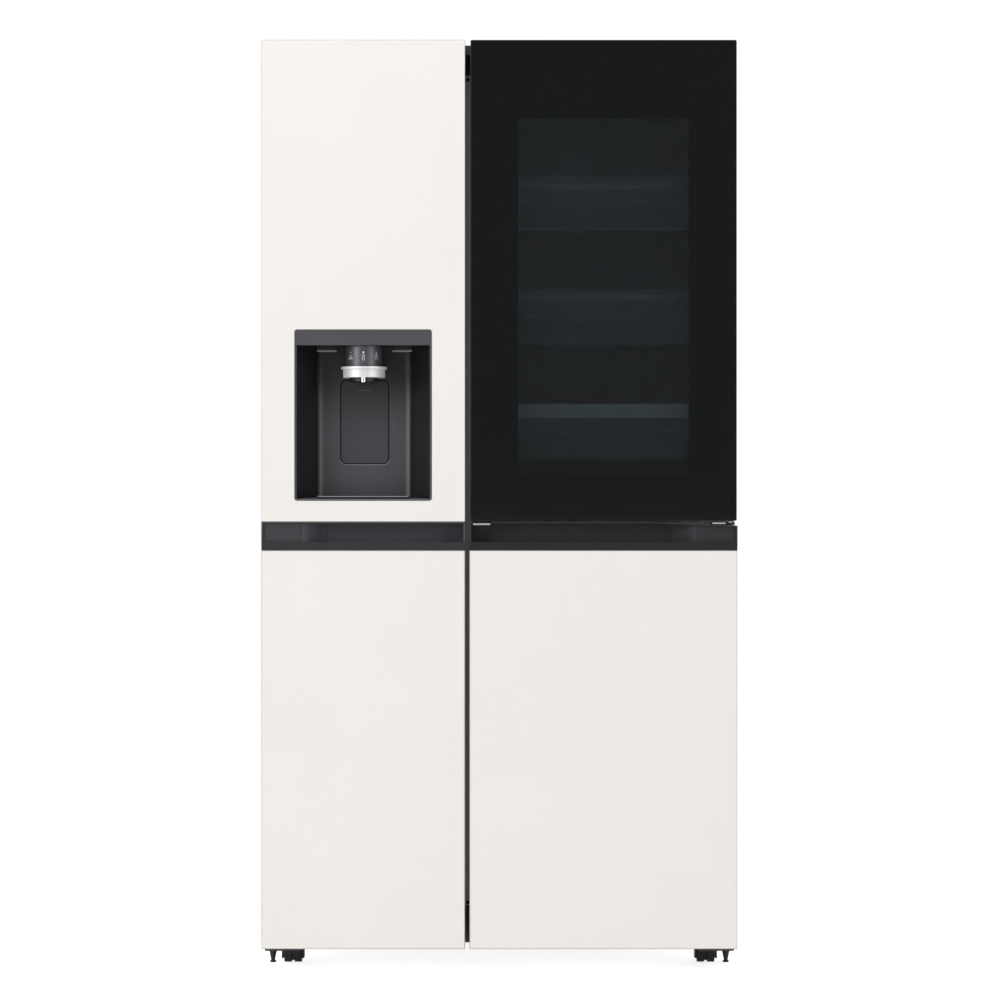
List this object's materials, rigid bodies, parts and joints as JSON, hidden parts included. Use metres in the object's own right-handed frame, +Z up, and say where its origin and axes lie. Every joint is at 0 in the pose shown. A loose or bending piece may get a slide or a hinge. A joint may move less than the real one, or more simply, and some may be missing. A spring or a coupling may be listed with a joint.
{
  "type": "side by side refrigerator",
  "caption": "Side by side refrigerator with a dispenser in the freezer door and a glass view door over a frame of baskets; doors, drawers, lever, fans and rollers move.",
  "frame": {"origin": "on the floor under the middle of the object's box", "axes": "+Z up, the door fronts face -Y, +X to the right of a person who faces the doors"},
  "size_m": [0.913, 0.735, 1.79],
  "materials": {
    "cream_paint": "smooth satin cream paint",
    "foam": "rigid foam behind a moulded cream edge",
    "galvanised_steel": "galvanised sheet",
    "liner_plastic": "smooth white moulding",
    "dark_plastic": "fine-grained dark grey moulding",
    "black_plastic": "black moulding",
    "black_paint": "black enamel",
    "tinted_glass": "dark tinted gloss",
    "shelf_glass": "clear toughened glass",
    "clear_plastic": "clear moulding",
    "seal_rubber": "soft grey seal",
    "foot_plastic": "hard black plastic",
    "bright_metal": "satin bright metal",
    "bare_aluminium": "bare aluminium"
  },
  "bodies": {
    "cabinet": {"outer_case": "cream_paint", "rear_panel": "galvanised_steel", "insulation_foam": "foam", "freezer_liner": "liner_plastic", "fridge_liner": "liner_plastic", "centre_mullion": "dark_plastic", "kick_plate": "dark_plastic", "top_cover": "dark_plastic", "top_hinges": "galvanised_steel", "bottom_hinges": "galvanised_steel", "freezer_shelves": "shelf_glass", "fridge_shelves": "shelf_glass", "freezer_air_duct": "liner_plastic", "fridge_air_duct": "liner_plastic", "evaporator": "bare_aluminium", "compressor": "black_paint", "condenser": "black_paint", "machine_tray": "galvanised_steel", "drain_pan": "liner_plastic", "rear_cover": "dark_plastic", "power_inlet": "black_plastic"},
    "freezer_door": {"freezer_upper_panel": "cream_paint", "freezer_lower_panel": "cream_paint", "freezer_door_core": "foam", "freezer_door_liner": "liner_plastic", "freezer_door_gasket": "seal_rubber", "freezer_handle": "dark_plastic", "dispenser_housing": "dark_plastic", "dispenser_head": "dark_plastic", "dispenser_ring": "bright_metal", "water_spout": "bright_metal", "ice_maker": "liner_plastic", "ice_bucket": "clear_plastic", "freezer_door_bins": "clear_plastic"},
    "fridge_door": {"fridge_lower_panel": "cream_paint", "fridge_door_core": "foam", "fridge_door_liner": "liner_plastic", "fridge_door_gasket": "seal_rubber", "fridge_handle": "dark_plastic", "view_hinges": "galvanised_steel", "fridge_door_bins": "clear_plastic"},
    "view_door": {"view_glass": "tinted_glass", "inner_glass": "tinted_glass", "view_door_frame": "black_plastic", "view_door_gasket": "seal_rubber"},
    "dispenser_lever": {"dispenser_lever": "dark_plastic"},
    "chute_flap": {"chute_flap": "black_plastic"},
    "drip_tray": {"drip_tray": "dark_plastic"},
    "ice_auger": {"ice_auger": "bare_aluminium"},
    "release_button": {"release_button": "bright_metal"},
    "levelling_foot_left": {"levelling_foot_left": "foot_plastic"},
    "levelling_foot_right": {"levelling_foot_right": "foot_plastic"},
    "front_rollers": {"front_rollers": "foot_plastic"},
    "rear_rollers": {"rear_rollers": "foot_plastic"},
    "condenser_fan": {"condenser_fan": "black_plastic"},
    "evaporator_fan": {"evaporator_fan": "liner_plastic"},
    "upper_crisper": {"upper_crisper": "clear_plastic"},
    "lower_crisper": {"lower_crisper": "clear_plastic"},
    "upper_freezer_drawer": {"upper_freezer_drawer": "clear_plastic"},
    "lower_freezer_drawer": {"lower_freezer_drawer": "clear_plastic"}
  },
  "joints": [
    {"name": "freezer_door_swing", "type": "hinge", "parent": "cabinet", "child": "freezer_door", "pos_m": [-0.4385, -0.3075, 0.9], "axis": [0, 0, -1], "range_deg": [0, 115]},
    {"name": "fridge_door_swing", "type": "hinge", "parent": "cabinet", "child": "fridge_door", "pos_m": [0.4385, -0.3075, 0.9], "axis": [0, 0, 1], "range_deg": [0, 115]},
    {"name": "view_door_swing", "type": "hinge", "parent": "fridge_door", "child": "view_door", "pos_m": [0.4445, -0.3455, 1.3], "axis": [0, 0, 1], "range_deg": [0, 105]},
    {"name": "release_button_press", "type": "slide", "parent": "fridge_door", "child": "release_button", "axis": [0, 0, 1], "range_m": [0, 0.002], "stiffness_N_per_m": 800},
    {"name": "dispenser_lever_press", "type": "hinge", "parent": "freezer_door", "child": "dispenser_lever", "pos_m": [-0.26125, -0.28, 1.1312], "axis": [1, 0, 0], "range_deg": [0, 2.5], "stiffness_Nm_per_rad": 3},
    {"name": "chute_flap_lift", "type": "hinge", "parent": "freezer_door", "child": "chute_flap", "pos_m": [-0.26125, -0.2875, 1.2385], "axis": [-1, 0, 0], "range_deg": [0, 50]},
    {"name": "drip_tray_pull", "type": "slide", "parent": "freezer_door", "child": "drip_tray", "axis": [0, -1, 0], "range_m": [0, 0.06]},
    {"name": "ice_auger_spin", "type": "hinge", "parent": "freezer_door", "child": "ice_auger", "pos_m": [-0.26125, -0.2135, 1.3507], "axis": [1, 0, 0], "continuous": true},
    {"name": "condenser_fan_spin", "type": "hinge", "parent": "cabinet", "child": "condenser_fan", "pos_m": [-0.142, 0.2625, 0.156], "axis": [1, 0, 0], "continuous": true},
    {"name": "evaporator_fan_spin", "type": "hinge", "parent": "cabinet", "child": "evaporator_fan", "pos_m": [-0.2521, 0.2765, 0.776], "axis": [0, 1, 0], "continuous": true},
    {"name": "front_rollers_roll", "type": "hinge", "parent": "cabinet", "child": "front_rollers", "pos_m": [0, -0.1995, 0.0215], "axis": [1, 0, 0], "continuous": true},
    {"name": "rear_rollers_roll", "type": "hinge", "parent": "cabinet", "child": "rear_rollers", "pos_m": [0, 0.3025, 0.021], "axis": [1, 0, 0], "continuous": true},
    {"name": "levelling_foot_left_turn", "type": "hinge", "parent": "cabinet", "child": "levelling_foot_left", "pos_m": [-0.445, -0.1995, 0.02], "axis": [0, 0, 1], "continuous": true},
    {"name": "levelling_foot_right_turn", "type": "hinge", "parent": "cabinet", "child": "levelling_foot_right", "pos_m": [0.445, -0.1995, 0.02], "axis": [0, 0, 1], "continuous": true},
    {"name": "upper_crisper_pull", "type": "slide", "parent": "cabinet", "child": "upper_crisper", "axis": [0, -1, 0], "range_m": [0, 0.15]},
    {"name": "lower_crisper_pull", "type": "slide", "parent": "cabinet", "child": "lower_crisper", "axis": [0, -1, 0], "range_m": [0, 0.15]},
    {"name": "upper_freezer_drawer_pull", "type": "slide", "parent": "cabinet", "child": "upper_freezer_drawer", "axis": [0, -1, 0], "range_m": [0, 0.15]},
    {"name": "lower_freezer_drawer_pull", "type": "slide", "parent": "cabinet", "child": "lower_freezer_drawer", "axis": [0, -1, 0], "range_m": [0, 0.15]}
  ],
  "couplings": [
    {"joint": "chute_flap_lift", "follows": "dispenser_lever_press", "ratio": 20},
    {"joint": "upper_crisper_pull", "follows": "fridge_door_swing", "m_per_rad": 0.0747},
    {"joint": "lower_crisper_pull", "follows": "fridge_door_swing", "m_per_rad": 0.0747},
    {"joint": "upper_freezer_drawer_pull", "follows": "freezer_door_swing", "m_per_rad": 0.0747},
    {"joint": "lower_freezer_drawer_pull", "follows": "freezer_door_swing", "m_per_rad": 0.0747}
  ]
}
